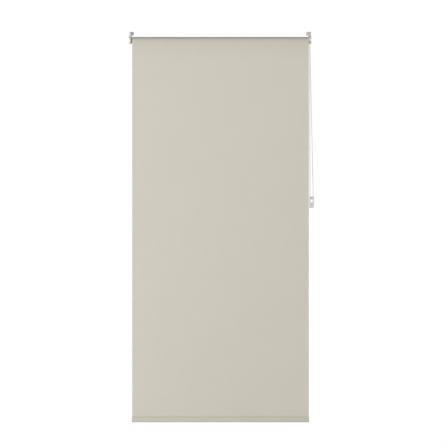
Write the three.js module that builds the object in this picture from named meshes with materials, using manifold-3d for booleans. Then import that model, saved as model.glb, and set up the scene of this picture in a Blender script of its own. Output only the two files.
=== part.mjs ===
// Chain-operated roller blind that hangs on two wall brackets.
// Millimetres, +Z up. The wall is the plane Y = 0 and the blind is in front of it, towards -Y.
// The origin is on the wall, midway between the brackets, level with the roller's axis.
// +X is the chain side.

import * as THREE from "three";
import { mergeVertices } from "three/addons/utils/BufferGeometryUtils.js";
import Module from "manifold-3d";

const wasm = await Module();
wasm.setup();

// Driving dimensions

const overallWidth = 900;     // over the two bracket covers
const dropToEdge = 1881;      // roller's axis to the bottom edge of the hem
const axisFromWall = 30;
const gap = 0.3;              // between pieces that meet
const pastFace = 1;           // how far a cutter runs past a face

const cover = { wall: 1.3, idleDepth: 9.5, pegRadius: 1.7, pegUp: 30, pegDown: 9, pegFromWall: 12 };
const bracket = {
  sheet: 1.5, noseRadius: 15.7, headTop: 42.3, headDepth: 26.4, headWidth: 22.4, headBottom: 25,
  footWidth: 12.6, corner: 3, screwInset: 16.4, upperScrew: 32, lowerScrew: 9, screwHole: 2.3,
};
const screw = { headRadius: 3.7, headHeight: 2.3, shankRadius: 1.95, length: 28, slot: 0.9, slotDepth: 1.2 };
const dome = { flat: 0.55, shoulder: 0.9, shoulderHeight: 0.6 };   // shares of a screw head's radius and height

const tube = { radius: 14, wall: 1, ribWidth: 2.4, ribHeight: 1.8, pastCloth: 0.5 };
const cloth = { thickness: 0.4, turnsOnRoll: 2, idleGap: 17.6 };
const strip = { thickness: 0.3, width: 12 };

const plug = { flange: 1.5, length: 28, clearance: 0.4, capLength: 4 };
const pin = {
  radius: 2.5, tipRadius: 1.75, tip: 1, length: 30, hole: 2.8,
  collarRadius: 4.2, collar: 1.8, collarDepth: 16, chamberRadius: 4.7,
};
const pinSpring = { wire: 0.6, radius: 3.6, turns: 7 };

const chain = { bead: 4.5, pitch: 6, core: 1.4, pockets: 12 };
const sprocket = {
  cheek: 0.35, beadOut: 0.24, bore: 5.3, fingerInner: 7.3, fingerOuter: 9, fingerAngle: 60, reach: 24.3,
};
const hub = { shaftRadius: 5, flange: 1.2, flangePast: 0.9, boss: 8, boreRadius: 1.5, boreDepth: 14 };
const guard = { plate: 1, wall: 1.3, toTube: 0.6, overlapAngle: 12, eye: 9.6 };
const crown = { length: 30, end: 6, keyAngle: 100, keyInner: 7.2, keyRoot: 0.5, chamber: 9.4 };
const wrap = { wire: 0.9, radius: 5.9, turns: 4, pitch: 1.2, tangRadius: 8.4, inset: [5, 15] };
const retainer = { headRadius: 6.4, headHeight: 2.2, shankRadius: 1.2, length: 12 };

const hem = { height: 27.8, depth: 7.2, wall: 0.5, behindCloth: 1.6 };
const bar = { clearance: 0.4, wall: 1, endInset: 1 };
const barCap = { flange: 1.6, overhang: 0.3, plugLength: 12 };

const tensioner = {
  pastChain: 10.4, above: 40.3, below: 17.8, depth: 13, corner: 4,
  back: 2.2, front: 1.3, wall: 1.2, beadGap: 0.35,
  screwUp: 32, post: 3.4, postHole: 2.3,
  windowWidth: 11.2, windowAboveWheel: 3.1, windowHeight: 11, notchGap: 0.45,
};
const wheel = { drop: 809, pitchRadius: 8.5, rimPast: 0.9, cheek: 0.75, fromWall: 6.5, grooveFacet: 50 };

// Places worked out from them, measured from the middle of the blind

const side = overallWidth / 2;
const cheekOuter = side - cover.wall - gap;
const cheekInner = cheekOuter - bracket.sheet;
const hubOuter = cheekInner - gap;
const hubInner = hubOuter - hub.flange;
const sprocketOuter = hubInner - gap;
const sprocketWidth = chain.bead + 2 * (gap + sprocket.cheek);
const sprocketInner = sprocketOuter - sprocketWidth;
const chainPlane = (sprocketOuter + sprocketInner) / 2;
const guardInner = sprocketInner - gap - guard.plate;
const tubeRight = guardInner - guard.toTube;
const clothRight = tubeRight - tube.pastCloth;
const clothLeft = -side + cloth.idleGap;
const tubeLeft = clothLeft - tube.pastCloth;
const pitchRadius = chain.pitch / (2 * Math.sin(Math.PI / chain.pockets));
const sprocketRadius = pitchRadius + chain.bead / 2 - sprocket.beadOut;
const hubRadius = sprocketRadius + hub.flangePast;
const tubeBore = tube.radius - tube.wall;
const rollInner = tube.radius + 2 * gap + strip.thickness;
const rollRadius = rollInner + cloth.turnsOnRoll * cloth.thickness;
const clothBack = -axisFromWall - rollRadius - gap;
const clothFront = clothBack - cloth.thickness;
const hemTop = -dropToEdge + hem.height;
const wheelY = -wheel.fromWall;
const wheelRim = wheel.pitchRadius + wheel.rimPast;
const tensionerX = chainPlane + tensioner.pastChain;
const tensionerWidth = 2 * (wheel.pitchRadius + chain.bead / 2 + tensioner.beadGap + tensioner.wall);

// Shapes

const outlineYZ = new THREE.Matrix4().makeBasis(
  new THREE.Vector3(0, 1, 0), new THREE.Vector3(0, 0, 1), new THREE.Vector3(1, 0, 0));
const outlineXZ = new THREE.Matrix4().makeBasis(
  new THREE.Vector3(1, 0, 0), new THREE.Vector3(0, 0, 1), new THREE.Vector3(0, -1, 0));

// An outline drawn as (Y, Z), made thick from x0 to x1.
function alongX(shape, x0, x1, curveSegments = 10) {
  const options = { depth: Math.abs(x1 - x0), bevelEnabled: false, curveSegments };
  const geometry = new THREE.ExtrudeGeometry(shape, options).applyMatrix4(outlineYZ);
  return geometry.translate(Math.min(x0, x1), 0, 0);
}

// An outline drawn as (X, Z), made thick from y0 to y1.
function alongY(shape, y0, y1, curveSegments = 8) {
  const options = { depth: Math.abs(y1 - y0), bevelEnabled: false, curveSegments };
  const geometry = new THREE.ExtrudeGeometry(shape, options).applyMatrix4(outlineXZ);
  return geometry.translate(0, Math.max(y0, y1), 0);
}

function box(x0, x1, y0, y1, z0, z1) {
  const geometry = new THREE.BoxGeometry(Math.abs(x1 - x0), Math.abs(y1 - y0), Math.abs(z1 - z0));
  return geometry.translate((x0 + x1) / 2, (y0 + y1) / 2, (z0 + z1) / 2);
}

// A closed outline through corners [u, v, rounding].
function outline(corners) {
  const shape = new THREE.Shape();
  const points = corners.map(([u, v]) => new THREE.Vector2(u, v));
  corners.forEach(([, , rounding = 0], i) => {
    const here = points[i];
    const before = points.at(i - 1).clone().sub(here).setLength(rounding).add(here);
    const after = points[(i + 1) % points.length].clone().sub(here).setLength(rounding).add(here);
    if (i === 0) shape.moveTo(before.x, before.y);
    else shape.lineTo(before.x, before.y);
    if (rounding > 0) shape.quadraticCurveTo(here.x, here.y, after.x, after.y);
  });
  shape.closePath();
  return shape;
}

function rectangle(width, bottom, top, rounding = 0) {
  const half = width / 2;
  return outline([
    [-half, bottom, rounding], [half, bottom, rounding], [half, top, rounding], [-half, top, rounding]]);
}

function circle(u, v, radius) {
  return new THREE.Shape().absarc(u, v, radius, 0, 2 * Math.PI);
}

// Part of a ring about the origin, between two angles in degrees.
function ringPart(inner, outer, from, to) {
  const shape = new THREE.Shape();
  const start = THREE.MathUtils.degToRad(from);
  const end = THREE.MathUtils.degToRad(to);
  shape.absarc(0, 0, outer, start, end, false);
  shape.absarc(0, 0, inner, end, start, true);
  shape.closePath();
  return shape;
}

// A bar section with round ends, standing up.
function stadium(height, width) {
  const radius = width / 2;
  const straight = height / 2 - radius;
  const shape = new THREE.Shape();
  shape.absarc(0, straight, radius, 0, Math.PI, false);
  shape.absarc(0, -straight, radius, Math.PI, 2 * Math.PI, false);
  shape.closePath();
  return shape;
}

// A profile of [radius, height] turned about Y. One that leaves the axis out closes on itself.
function turnedY(profile, segments = 32) {
  const points = profile.map(([radius, height]) => new THREE.Vector2(radius, height));
  if (THREE.ShapeUtils.isClockWise(points)) points.reverse();
  if (points[0].x > 0) points.push(points[0].clone());
  return new THREE.LatheGeometry(points, segments);
}

// The same with the height along X.
function turnedX(profile, segments = 32) {
  return turnedY(profile, segments).rotateZ(-Math.PI / 2);
}

function ringX(inner, outer, x0, x1, segments = 32) {
  return turnedX([[inner, x0], [outer, x0], [outer, x1], [inner, x1]], segments);
}

function rodX(radius, x0, x1, segments = 24) {
  return turnedX([[0, x0], [radius, x0], [radius, x1], [0, x1]], segments);
}

function rodY(radius, y0, y1, segments = 24) {
  return turnedY([[0, y0], [radius, y0], [radius, y1], [0, y1]], segments);
}

// A round section swept along a curve.
function swept(path, radius, sides, steps) {
  const section = new THREE.Shape();
  for (let i = 0; i < sides; i += 1) {
    const angle = (2 * Math.PI * i) / sides;
    const [u, v] = [radius * Math.cos(angle), radius * Math.sin(angle)];
    if (i === 0) section.moveTo(u, v);
    else section.lineTo(u, v);
  }
  section.closePath();
  return new THREE.ExtrudeGeometry(section, { steps, extrudePath: path, bevelEnabled: false });
}

// A coil about X. Its ends can turn outwards to tangRadius, as legs that something pushes on.
class Coil extends THREE.Curve {
  constructor({ radius, x0, x1, from, sweep, tangRadius = radius }) {
    super();
    Object.assign(this, { radius, x0, x1, from, sweep, tangRadius });
    this.tangShare = (tangRadius - radius) / (Math.abs(sweep) * radius);
  }

  getPoint(t, target = new THREE.Vector3()) {
    const share = this.tangShare;
    const along = THREE.MathUtils.clamp((t - share) / (1 - 2 * share), 0, 1);
    const out = Math.max(share - t, t - 1 + share, 0) / (share || 1);
    const radius = this.radius + (this.tangRadius - this.radius) * out;
    const angle = this.from + this.sweep * along;
    const x = this.x0 + (this.x1 - this.x0) * along;
    return target.set(x, radius * Math.cos(angle), radius * Math.sin(angle));
  }
}

// Half a turn round a centre with a straight leg at each end, in the plane of two directions.
// It comes in along the leg at +across, turns through +turnway, and leaves along the leg at -across.
class HalfTurn extends THREE.Curve {
  constructor(centre, radius, leg, across, turnway) {
    super();
    Object.assign(this, { centre, radius, leg, across, turnway });
  }

  getPoint(t, target = new THREE.Vector3()) {
    const bend = Math.PI * this.radius;
    const travelled = t * (bend + 2 * this.leg);
    const angle = THREE.MathUtils.clamp(travelled - this.leg, 0, bend) / this.radius;
    const below = Math.max(this.leg - travelled, travelled - this.leg - bend, 0);
    target.copy(this.centre);
    target.addScaledVector(this.across, this.radius * Math.cos(angle));
    return target.addScaledVector(this.turnway, this.radius * Math.sin(angle) - below);
  }
}

// Joining and cutting

function solidOf(geometry) {
  const bare = geometry.clone();
  bare.deleteAttribute("normal");
  bare.deleteAttribute("uv");
  const merged = mergeVertices(bare);
  const index = merged.index.array;
  const kept = [];
  for (let i = 0; i < index.length; i += 3) {
    const [a, b, c] = index.slice(i, i + 3);
    if (a !== b && b !== c && c !== a) kept.push(a, b, c);
  }
  const vertProperties = new Float32Array(merged.attributes.position.array);
  return new wasm.Manifold(new wasm.Mesh({ numProp: 3, vertProperties, triVerts: new Uint32Array(kept) }));
}

function geometryOf(solid) {
  const mesh = solid.getMesh();
  const geometry = new THREE.BufferGeometry();
  geometry.setAttribute("position", new THREE.BufferAttribute(mesh.vertProperties, 3));
  geometry.setIndex(new THREE.BufferAttribute(mesh.triVerts, 1));
  geometry.computeVertexNormals();
  return geometry;
}

function join(...geometries) {
  return geometryOf(geometries.map(solidOf).reduce((whole, piece) => whole.add(piece)));
}

function cut(geometry, ...tools) {
  return geometryOf(tools.map(solidOf).reduce((whole, tool) => whole.subtract(tool), solidOf(geometry)));
}

// Materials

function material(color, roughness, metalness = 0) {
  return new THREE.MeshStandardMaterial({ color, roughness, metalness });
}

const whitePowderCoat = material(0xd6d5d2, 0.45, 0.1);
const whitePlastic = material(0xe2e1de, 0.4);
const greyPlastic = material(0xb9b8b4, 0.5);
const blackPlastic = material(0x2f3032, 0.5);
const clearPlastic = material(0xe9eaea, 0.2);
const zincSteel = material(0xa9aaab, 0.35, 0.9);
const springSteel = material(0x7d7f82, 0.3, 0.95);
const aluminium = material(0xc4c6c8, 0.35, 0.9);
const clothWeave = material(0xcdc9bd, 0.95);
const tape = material(0xd9d2bd, 0.7);

const blind = new THREE.Group();

function place(parent, name, geometry, look, x = 0, y = 0, z = 0) {
  const mesh = new THREE.Mesh(geometry, look);
  mesh.name = name;
  mesh.position.set(x, y, z);
  parent.add(mesh);
}

function subGroup(x, y, z) {
  const group = new THREE.Group();
  group.position.set(x, y, z);
  blind.add(group);
  return group;
}

// Screws

// A cross-head screw. Its head's seat is at y = 0 and its shank runs towards +Y.
function screwGeometry(length = screw.length) {
  const { headRadius, headHeight, shankRadius, slot, slotDepth } = screw;
  const profile = [
    [0, -headHeight], [headRadius * dome.flat, -headHeight],
    [headRadius * dome.shoulder, -headHeight * dome.shoulderHeight],
    [headRadius, 0], [shankRadius, 0], [shankRadius, length - 2 * shankRadius], [0, length]];
  const bottom = -headHeight + slotDepth;
  const top = -headHeight - pastFace;
  const arm = headRadius * dome.flat;
  return cut(
    turnedY(profile, 16),
    box(-arm, arm, top, bottom, -slot / 2, slot / 2),
    box(-slot / 2, slot / 2, top, bottom, -arm, arm));
}

// Brackets and their covers

// The bracket seen from the side, as (Y, Z), grown by a margin below and in front.
// A cutter also runs past the wall and past the top, where the bracket and its cover are open.
function sideOutline(margin, past = 0) {
  const radius = bracket.noseRadius + margin;
  const front = -bracket.headDepth - margin;
  const top = bracket.headTop + past;
  const shape = new THREE.Shape();
  shape.moveTo(past, -radius);
  shape.lineTo(-axisFromWall, -radius);
  shape.absarc(-axisFromWall, 0, radius, -Math.PI / 2, Math.PI / 2, true);
  shape.lineTo(front, radius);
  shape.lineTo(front, top);
  shape.lineTo(past, top);
  shape.closePath();
  return shape;
}

// The flange that is screwed to the wall, as (X, Z).
function wallFlangeOutline(hand) {
  const inner = cheekOuter - bracket.headWidth;
  const foot = cheekOuter - bracket.footWidth;
  const corners = [
    [cheekOuter, -bracket.noseRadius], [foot, -bracket.noseRadius, bracket.corner],
    [foot, bracket.headBottom, bracket.corner], [inner, bracket.headBottom, bracket.corner],
    [inner, bracket.headTop], [cheekOuter, bracket.headTop]];
  return outline(corners.map(([x, z, rounding]) => [hand * x, z, rounding]));
}

function screwPlaces(hand) {
  const footMiddle = (cheekInner + cheekOuter - bracket.footWidth) / 2;
  return {
    upper: [hand * (cheekOuter - bracket.screwInset), bracket.upperScrew],
    lower: [hand * footMiddle, -bracket.lowerScrew],
  };
}

function pegPlaces() {
  return [[-cover.pegFromWall, cover.pegUp], [-cover.pegFromWall, -cover.pegDown]];
}

function bracketGeometry(hand, axisHole) {
  const { sheet, headTop, headDepth, headWidth, screwHole } = bracket;
  const inner = cheekOuter - headWidth;
  const body = join(
    alongX(sideOutline(0), hand * cheekInner, hand * cheekOuter),
    alongY(wallFlangeOutline(hand), 0, -sheet),
    box(hand * inner, hand * cheekOuter, 0, -headDepth, headTop - sheet, headTop));
  const { upper, lower } = screwPlaces(hand);
  const ceilingHole = rodY(screwHole, -sheet - pastFace, sheet + pastFace, 16).rotateX(Math.PI / 2);
  ceilingHole.translate(upper[0], -headDepth / 2, headTop - sheet / 2);
  const screwHoles = [upper, lower].map(([x, z]) =>
    rodY(screwHole, -sheet - pastFace, pastFace, 16).translate(x, 0, z));
  const [holeInner, holeOuter] = [hand * (cheekInner - pastFace), hand * (cheekOuter + pastFace)];
  const pegHoles = pegPlaces().map(([y, z]) =>
    alongX(circle(y, z, cover.pegRadius + gap), holeInner, holeOuter));
  return cut(body, axisHole, ceilingHole, ...screwHoles, ...pegHoles);
}

function coverGeometry(hand, depth) {
  const { wall, pegRadius } = cover;
  const hollow = alongX(sideOutline(gap, pastFace), hand * (side - depth - pastFace), hand * (side - wall));
  const shell = cut(alongX(sideOutline(gap + wall), hand * (side - depth), hand * side), hollow);
  const pegs = pegPlaces().map(([y, z]) =>
    alongX(circle(y, z, pegRadius), hand * cheekInner, hand * (side - wall / 2)));
  return join(shell, ...pegs);
}

function addBracket(word, hand, axisHole, coverDepth) {
  place(blind, `${word}_bracket`, bracketGeometry(hand, axisHole), whitePowderCoat);
  place(blind, `${word}_bracket_cover`, coverGeometry(hand, coverDepth), whitePlastic);
  for (const [height, [x, z]] of Object.entries(screwPlaces(hand))) {
    place(blind, `${word}_${height}_screw`, screwGeometry(), zincSteel, x, -bracket.sheet - gap, z);
  }
}

function addBrackets() {
  const through = [cheekInner - pastFace, cheekOuter + pastFace];
  const pinHole = alongX(circle(-axisFromWall, 0, pin.hole), -through[0], -through[1]);
  const half = hub.boss / 2 + gap;
  const bossHole = box(...through, -axisFromWall - half, -axisFromWall + half, -half, half);
  addBracket("left", -1, pinHole, cover.idleDepth);
  addBracket("right", 1, bossHole, side - cheekInner);
}

// Roller

// Two slots along a round body, for the tube's inner ribs.
function ribSlots(x0, x1) {
  const half = tube.ribWidth / 2 + gap;
  const depth = tubeBore - tube.ribHeight - gap;
  return [1, -1].map((up) => box(x0, x1, -half, half, up * depth, up * tube.radius));
}

function addTube(roller) {
  const half = tube.ribWidth / 2;
  const ribs = [1, -1].map((up) =>
    box(tubeLeft, tubeRight, -half, half, up * (tubeBore - tube.ribHeight), up * (tubeBore + tube.wall / 2)));
  const pipe = ringX(tubeBore, tube.radius, tubeLeft, tubeRight, 40);
  place(roller, "roller_tube", join(pipe, ...ribs), aluminium);
}

function addClothOnRoll(roller) {
  const stripInner = tube.radius + gap;
  const halfAngle = THREE.MathUtils.radToDeg(strip.width / 2 / stripInner);
  const section = ringPart(stripInner, stripInner + strip.thickness, 90 - halfAngle, 90 + halfAngle);
  place(roller, "adhesive_strip", alongX(section, clothLeft, clothRight), tape);
  place(roller, "fabric_roll", ringX(rollInner, rollRadius, clothLeft, clothRight, 48), clothWeave);
}

// Idle end: a plug in the tube, with a pin that springs back so that the roller can be lifted out

function addIdlePlug(roller) {
  const flangeInner = tubeLeft - gap;
  const flangeOuter = flangeInner - plug.flange;
  const end = flangeInner + plug.length;
  const shoulder = pinShoulder();
  const body = turnedX([
    [pin.hole, flangeOuter], [tube.radius, flangeOuter], [tube.radius, flangeInner],
    [tubeBore - plug.clearance, flangeInner], [tubeBore - plug.clearance, end],
    [pin.chamberRadius, end], [pin.chamberRadius, shoulder], [pin.hole, shoulder]]);
  place(roller, "idle_plug", cut(body, ...ribSlots(flangeInner, end + pastFace)), blackPlastic);
  const capInner = end - gap;
  const cap = rodX(pin.chamberRadius - gap, capInner - plug.capLength, capInner);
  place(roller, "idle_plug_cap", cap, blackPlastic);
}

// Where the shoulder inside the plug stops the pin's collar.
function pinShoulder() {
  return -cheekOuter + gap + pin.collarDepth;
}

function addIdlePin(roller) {
  const tip = -cheekOuter + gap;
  const collar = pinShoulder() + gap;
  const profile = [
    [0, tip], [pin.tipRadius, tip], [pin.radius, tip + pin.tip], [pin.radius, collar],
    [pin.collarRadius, collar], [pin.collarRadius, collar + pin.collar], [pin.radius, collar + pin.collar],
    [pin.radius, tip + pin.length], [0, tip + pin.length]];
  place(roller, "idle_pin", turnedX(profile, 24), zincSteel);
  const margin = gap + pinSpring.wire / 2;
  const path = new Coil({
    radius: pinSpring.radius, from: 0, sweep: 2 * Math.PI * pinSpring.turns,
    x0: collar + pin.collar + margin, x1: tubeLeft - 2 * gap + plug.length - plug.capLength - margin });
  place(roller, "idle_spring", swept(path, pinSpring.wire / 2, 5, 10 * pinSpring.turns), springSteel);
}

// Drive end: a fixed hub, a sprocket that the chain turns, and a crown in the tube.
// Two wrap springs grip the hub when the cloth's weight turns the crown, and let go when the chain turns it.

function addHub(roller) {
  const { shaftRadius, boss, boreRadius, boreDepth } = hub;
  const shaftEnd = crownInner() - gap;
  const half = boss / 2;
  const body = join(
    turnedX([[0, shaftEnd], [shaftRadius, shaftEnd], [shaftRadius, hubInner], [hubRadius, hubInner],
      [hubRadius, hubOuter], [0, hubOuter]]),
    box(hubInner, cheekOuter, -half, half, -half, half));
  const bore = rodX(boreRadius, shaftEnd - pastFace, shaftEnd + boreDepth, 16);
  place(roller, "clutch_hub", cut(body, bore), greyPlastic);
  const { headRadius, headHeight, shankRadius, length } = retainer;
  const seat = shaftEnd - gap;
  place(roller, "clutch_retaining_screw", turnedX([
    [0, seat - headHeight], [headRadius * dome.shoulder, seat - headHeight],
    [headRadius, seat - headHeight * dome.shoulderHeight],
    [headRadius, seat], [shankRadius, seat], [shankRadius, seat + length], [0, seat + length]], 20), zincSteel);
}

function crownOuter() {
  return tubeRight - tube.pastCloth;
}

function crownInner() {
  return crownOuter() - crown.length;
}

function addCrown(roller) {
  const [x0, x1] = [crownInner(), crownOuter()];
  const outer = tubeBore - plug.clearance;
  const chamberStart = x0 + crown.end;
  const body = turnedX([
    [sprocket.bore, x0], [outer, x0], [outer, x1], [crown.chamber, x1],
    [crown.chamber, chamberStart], [sprocket.bore, chamberStart]]);
  const halfAngle = crown.keyAngle / 2;
  const keyOuter = crown.chamber + crown.keyRoot;
  const keys = [90, 270].map((middle) =>
    alongX(ringPart(crown.keyInner, keyOuter, middle - halfAngle, middle + halfAngle),
      chamberStart - crown.keyRoot, x1));
  const slots = ribSlots(x0 - pastFace, x1 + pastFace);
  place(roller, "clutch_crown", cut(join(body, ...keys), ...slots), blackPlastic);
}

function addSprocket(roller) {
  const { bore, fingerInner, fingerOuter, fingerAngle, reach } = sprocket;
  const halfAngle = fingerAngle / 2;
  const fingers = [0, 180].map((middle) =>
    alongX(ringPart(fingerInner, fingerOuter, middle - halfAngle, middle + halfAngle),
      sprocketInner - reach, sprocketInner + sprocketWidth / 4));
  const cordSlot = chain.core / 2 + gap;
  const cordGroove = ringX(
    pitchRadius - cordSlot, sprocketRadius + pastFace, chainPlane - cordSlot, chainPlane + cordSlot, 36);
  const floor = pitchRadius - chain.bead / 2 - gap;
  const pockets = Array.from({ length: chain.pockets }, (_, i) => {
    const pocket = rodY(chain.bead / 2 + gap, floor, sprocketRadius + pastFace, 10);
    return pocket.rotateX((2 * Math.PI * i) / chain.pockets).translate(chainPlane, 0, 0);
  });
  const disc = ringX(bore, sprocketRadius, sprocketInner, sprocketOuter, 36);
  place(roller, "chain_sprocket", cut(join(disc, ...fingers), cordGroove, ...pockets), greyPlastic);
}

function addGuard(roller) {
  const inner = hubRadius + gap;
  const outer = inner + guard.wall;
  const hood = alongX(
    ringPart(inner, outer, -guard.overlapAngle, 180 + guard.overlapAngle), guardInner, hubOuter, 10);
  const plate = ringX(guard.eye, outer, guardInner, guardInner + guard.plate, 36);
  place(roller, "chain_guard", join(hood, plate), whitePlastic);
}

function addWrapSprings(roller) {
  const tangAngle = THREE.MathUtils.degToRad((180 - crown.keyAngle + sprocket.fingerAngle) / 4);
  const legs = { inner: tangAngle, outer: Math.PI + tangAngle };
  Object.entries(legs).forEach(([word, from], i) => {
    const x0 = crownInner() + crown.end + wrap.inset[i];
    const sweep = 2 * Math.PI * wrap.turns - 2 * tangAngle;
    const path = new Coil({
      radius: wrap.radius, tangRadius: wrap.tangRadius, from, sweep, x0, x1: x0 + wrap.turns * wrap.pitch });
    const geometry = swept(path, wrap.wire / 2, 5, 14 * wrap.turns);
    place(roller, `${word}_wrap_spring`, geometry, springSteel);
  });
}

// Cloth below the roll, and the bar that weights it

function addPanel() {
  const geometry = box(clothLeft, clothRight, clothFront, clothBack, hemTop + gap, 0);
  place(blind, "fabric_panel", geometry, clothWeave);
}

function barSection(margin) {
  return stadium(hem.height - 2 * hem.wall - 2 * bar.clearance + 2 * margin,
    hem.depth - 2 * hem.wall - 2 * bar.clearance + 2 * margin);
}

function tubeSection(outer, inner) {
  outer.holes.push(inner);
  return outer;
}

function addBarCap(rail, word, hand, clothEdge) {
  const flangeInner = clothEdge + hand * gap;
  const flange = alongX(stadium(hem.height + 2 * barCap.overhang, hem.depth + 2 * barCap.overhang),
    flangeInner, flangeInner + hand * barCap.flange);
  const peg = alongX(barSection(-bar.wall - gap), flangeInner, flangeInner - hand * barCap.plugLength);
  place(rail, `bottom_bar_${word}_cap`, join(flange, peg), whitePlastic);
}

function addBottomRail() {
  const y = (clothFront + clothBack) / 2 + hem.behindCloth;
  const rail = subGroup(0, y, -dropToEdge + hem.height / 2);
  const pocket = tubeSection(stadium(hem.height, hem.depth), barSection(bar.clearance));
  place(rail, "hem_pocket", alongX(pocket, clothLeft, clothRight, 8), clothWeave);
  const section = tubeSection(barSection(0), barSection(-bar.wall));
  const [barLeft, barRight] = [clothLeft + bar.endInset, clothRight - bar.endInset];
  place(rail, "bottom_bar", alongX(section, barLeft, barRight, 8), aluminium);
  addBarCap(rail, "left", -1, clothLeft);
  addBarCap(rail, "right", 1, clothRight);
}

// Chain: an endless loop of beads on a cord. It goes over the sprocket, and down to a grooved wheel
// that stands at right angles to it, so the two strands lie front and back above, and side by side below.
// On the sprocket only the cord is drawn, because the beads lie in the pockets.

// How far below the axis the beads have left the sprocket's rim.
function cordLeg() {
  return Math.sqrt(sprocketRadius ** 2 - (pitchRadius - chain.bead / 2) ** 2) + gap;
}

function wheelSide(leftOrRight) {
  return tensionerX + leftOrRight * wheel.pitchRadius;
}

function strandPath(frontOrBack, leftOrRight) {
  const above = new THREE.Vector3(chainPlane, -axisFromWall + frontOrBack * pitchRadius, -cordLeg());
  const below = new THREE.Vector3(wheelSide(leftOrRight), wheelY, -wheel.drop);
  const along = below.clone().sub(above).normalize();
  return new THREE.LineCurve3(above.addScaledVector(along, gap), below.addScaledVector(along, -gap));
}

function addChain() {
  const [x, y, z] = [0, 1, 2].map((i) => new THREE.Vector3().setComponent(i, 1));
  const bead = chain.bead / 2;
  place(blind, "chain_front_strand", swept(strandPath(-1, 1), bead, 8, 20), whitePlastic);
  place(blind, "chain_back_strand", swept(strandPath(1, -1), bead, 8, 20), whitePlastic);
  const axis = new THREE.Vector3(chainPlane, -axisFromWall, 0);
  const overSprocket = new HalfTurn(axis, pitchRadius, cordLeg(), y.clone().negate(), z);
  place(blind, "chain_over_sprocket", swept(overSprocket, chain.core / 2, 8, 24), whitePlastic);
  const wheelCentre = new THREE.Vector3(tensionerX, wheelY, -wheel.drop);
  const roundWheel = new HalfTurn(wheelCentre, wheel.pitchRadius, 0, x, z.clone().negate());
  place(blind, "chain_around_wheel", swept(roundWheel, bead, 8, 16), whitePlastic);
}

// Tensioner: screwed to the wall, so that the loop stays tight and out of a child's reach

function tensionerWindow() {
  const { windowWidth, windowAboveWheel, windowHeight, corner } = tensioner;
  const bottom = wheelRim + windowAboveWheel;
  return rectangle(windowWidth, bottom, bottom + windowHeight, corner / 2);
}

function addTensionerBack(group) {
  const { above, below, corner, back, depth, front, screwUp, post, postHole } = tensioner;
  const postEnd = -depth + front + gap;
  const plate = alongY(rectangle(tensionerWidth, -below, above, corner), 0, -back);
  const posts = [0, screwUp].map((z) => rodY(post, postEnd, -back / 2).translate(0, 0, z));
  const bores = [0, screwUp].map((z) => rodY(postHole, postEnd - pastFace, pastFace, 16).translate(0, 0, z));
  const opening = alongY(tensionerWindow(), pastFace, -back - pastFace);
  place(group, "tensioner_back", cut(join(plate, ...posts), opening, ...bores), whitePlastic);
}

function addTensionerCover(group) {
  const { above, below, corner, back, depth, front, wall, screwUp, postHole, notchGap } = tensioner;
  const open = -back - gap;
  const inside = -depth + front;
  const block = alongY(rectangle(tensionerWidth, -below, above, corner), open, -depth);
  const hollow = alongY(
    rectangle(tensionerWidth - 2 * wall, -below + wall, above - wall, corner - wall), open + pastFace, inside);
  const bores = [0, screwUp].map((z) => rodY(postHole, -depth - pastFace, open, 16).translate(0, 0, z));
  const opening = alongY(tensionerWindow(), open, -depth - pastFace);
  const half = chain.bead / 2 + notchGap;
  const notches = [1, -1].map((hand) => {
    const lean = (chainPlane - wheelSide(hand)) / (wheel.drop - cordLeg());
    const x = hand * wheel.pitchRadius + lean * above;
    return box(x - half, x + half, open + pastFace, inside + gap, above - 2 * wall, above + pastFace);
  });
  place(group, "tensioner_cover", cut(block, hollow, opening, ...bores, ...notches), clearPlastic);
}

// The groove keeps clear of the beads by the usual gap.
function addTensionerWheel(group) {
  const clear = chain.bead / 2 + gap;
  const half = clear + wheel.cheek;
  const bore = tensioner.post + gap;
  const facet = THREE.MathUtils.degToRad(wheel.grooveFacet);
  const groove = [-1.5, -0.5, 0.5, 1.5].map((facets) => {
    const out = clear / Math.cos(facet / 2);
    return [wheel.pitchRadius - out * Math.cos(facets * facet), out * Math.sin(facets * facet)];
  });
  const profile = [[bore, -half], [wheelRim, -half], ...groove, [wheelRim, half], [bore, half]];
  profile.splice(2, 0, [wheelRim, groove[0][1]]);
  profile.splice(-2, 0, [wheelRim, groove.at(-1)[1]]);
  place(group, "tensioner_wheel", turnedY(profile, 24), greyPlastic, 0, wheelY, 0);
}

function addTensioner() {
  const group = subGroup(tensionerX, 0, -wheel.drop);
  addTensionerBack(group);
  addTensionerCover(group);
  addTensionerWheel(group);
  const seat = -tensioner.depth - gap;
  const length = screw.length + tensioner.depth - bracket.sheet;
  place(group, "tensioner_lower_screw", screwGeometry(length), zincSteel, 0, seat, 0);
  place(group, "tensioner_upper_screw", screwGeometry(length), zincSteel, 0, seat, tensioner.screwUp);
}

function addRoller() {
  const roller = subGroup(0, -axisFromWall, 0);
  addTube(roller);
  addClothOnRoll(roller);
  addIdlePlug(roller);
  addIdlePin(roller);
  addHub(roller);
  addCrown(roller);
  addSprocket(roller);
  addGuard(roller);
  addWrapSprings(roller);
}

addBrackets();
addRoller();
addPanel();
addBottomRail();
addChain();
addTensioner();

export default blind;
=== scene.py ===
import math

import bmesh
import bpy
import numpy as np
from mathutils import Matrix, Vector


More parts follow.
